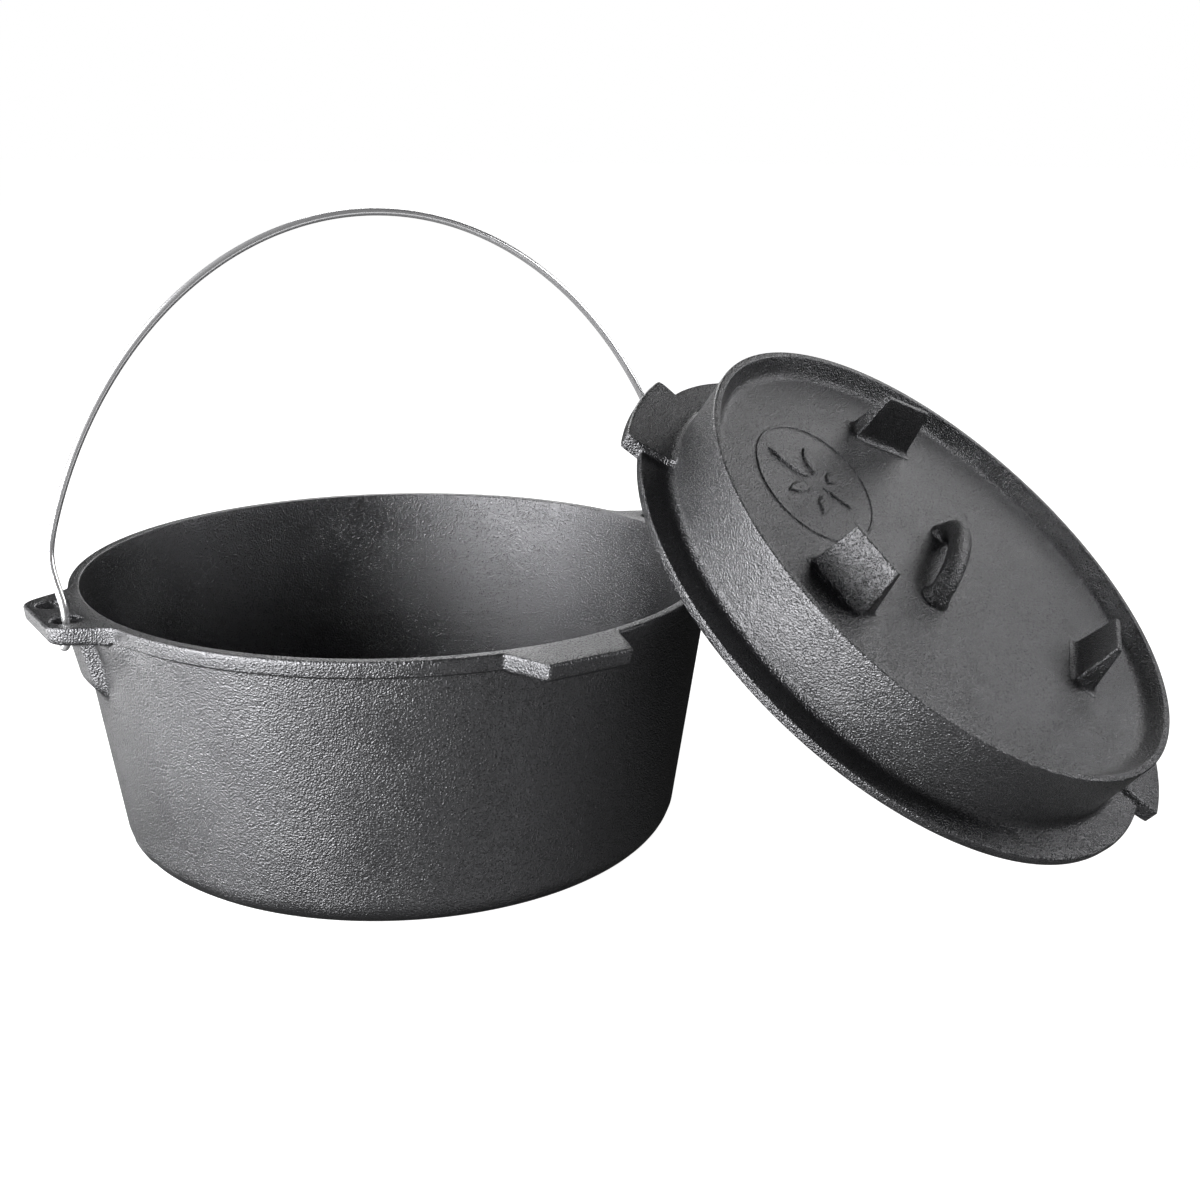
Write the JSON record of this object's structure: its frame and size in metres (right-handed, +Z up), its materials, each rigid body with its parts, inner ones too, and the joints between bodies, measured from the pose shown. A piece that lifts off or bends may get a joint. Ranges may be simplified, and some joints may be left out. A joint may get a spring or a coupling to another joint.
{
  "type": "dutch oven",
  "caption": "Deep round cast iron pot with ears, a grip tab and a hinged wire bail; the lid, with a raised coal ring, short legs and a loop handle, leans against it.",
  "frame": {"origin": "centre of the flat underside of the pot, on its axis", "axes": "+Z up along the pot's axis, +X through the ears towards the side where the lid leans, -Y towards the grip tab"},
  "size_m": [0.5513, 0.4187, 0.298],
  "materials": {
    "pot_iron": "seasoned, satin, pebbled as cast",
    "lid_iron": "seasoned, satin, pebbled as cast",
    "bail_steel": "bright drawn wire"
  },
  "bodies": {
    "pot": {"pot": "pot_iron"},
    "lid": {"lid": "lid_iron"},
    "bail": {"bail": "bail_steel"}
  },
  "joints": [
    {"name": "bail_swing", "type": "hinge", "parent": "pot", "child": "bail", "pos_m": [0, 0, 0.125], "axis": [1, 0, 0], "range_deg": [-78, 14]},
    {"name": "lid_lift", "type": "slide", "parent": "pot", "child": "lid", "axis": [0.2387, -0.5735, 0.7837], "range_m": [0, 0.35]}
  ]
}
